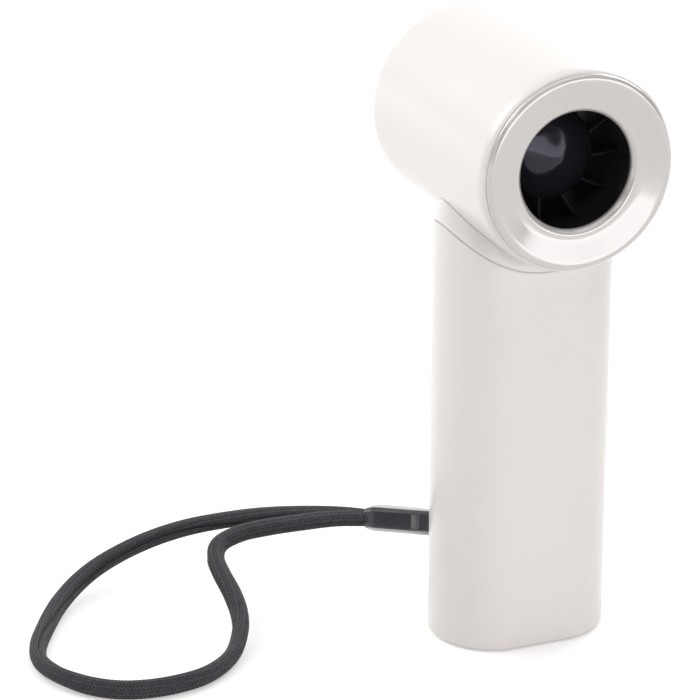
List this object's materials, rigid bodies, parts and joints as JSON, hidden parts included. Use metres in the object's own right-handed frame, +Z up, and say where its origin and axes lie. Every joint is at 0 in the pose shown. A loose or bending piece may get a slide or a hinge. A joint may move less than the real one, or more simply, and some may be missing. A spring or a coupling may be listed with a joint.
{
  "type": "handheld fan",
  "caption": "Slim handheld fan: a tubular head with a ducted motor and fixed vanes on a flat-sided oval grip, with a braided wrist strap.",
  "frame": {"origin": "middle of the base cap's underside, where the fan stands", "axes": "+Z up the grip to the head; the air leaves the head toward -Y; X is across the grip's width"},
  "size_m": [0.1361, 0.0879, 0.1422],
  "materials": {
    "shell_plastic": "satin warm white",
    "duct_plastic": "satin black",
    "nose_plastic": "polished black",
    "inner_plastic": "matte white",
    "steel": "bright",
    "dark_metal": "dark satin",
    "copper": "enamelled copper",
    "nickel": "nickel plate",
    "board": "solder mask green",
    "chip": "moulded black",
    "cell_wrap": "satin blue sleeve",
    "foam": "dark foam",
    "lens": "milky clear",
    "lead_red": "soft sleeve",
    "lead_black": "soft sleeve",
    "lead_yellow": "soft sleeve",
    "ferrule": "satin black",
    "braid": "braided charcoal nylon"
  },
  "bodies": {
    "body": {"head_shell": "shell_plastic", "front_bezel": "shell_plastic", "neck_collar": "shell_plastic", "handle_shell": "shell_plastic", "base_cap": "shell_plastic", "strap_anchor": "shell_plastic", "outlet_nozzle": "duct_plastic", "stator_housing": "duct_plastic", "impeller_shroud": "duct_plastic", "nose_cone": "nose_plastic", "intake_grille": "inner_plastic", "inner_chassis": "inner_plastic", "front_bearing": "steel", "rear_bearing": "steel", "head_screw_1": "steel", "head_screw_2": "steel", "collar_screw_1": "steel", "collar_screw_2": "steel", "base_screw_1": "steel", "base_screw_2": "steel", "board_screw_1": "steel", "board_screw_2": "steel", "strap_pin": "steel", "stator_core": "dark_metal", "power_inductor": "dark_metal", "motor_coil_1": "copper", "motor_coil_2": "copper", "motor_coil_3": "copper", "motor_coil_4": "copper", "motor_coil_5": "copper", "motor_coil_6": "copper", "motor_end_plate": "nickel", "negative_tab": "nickel", "positive_tab": "nickel", "usb_c_socket": "nickel", "board_capacitor": "nickel", "main_board": "board", "tact_switch": "chip", "charge_chip": "chip", "motor_driver": "chip", "battery_cell": "cell_wrap", "cell_foam": "foam", "light_pipe": "lens", "light_chip": "lens", "motor_lead_1": "lead_red", "battery_lead_positive": "lead_red", "motor_lead_2": "lead_black", "battery_lead_negative": "lead_black", "motor_lead_3": "lead_yellow", "strap_ferrule": "ferrule", "strap_cord": "braid", "strap_tether": "braid"},
    "rotor": {"impeller": "inner_plastic", "impeller_nut": "steel", "motor_shaft": "steel", "rotor_magnet": "dark_metal"},
    "button": {"power_button": "shell_plastic", "switch_plunger": "inner_plastic"}
  },
  "joints": [
    {"name": "impeller_spin", "type": "hinge", "parent": "body", "child": "rotor", "pos_m": [0, 0.01, 0.1191], "axis": [0, 1, 0], "continuous": true},
    {"name": "power_button_press", "type": "slide", "parent": "body", "child": "button", "axis": [0, -1, 0], "range_m": [0, 0.0005], "stiffness_N_per_m": 2000}
  ]
}
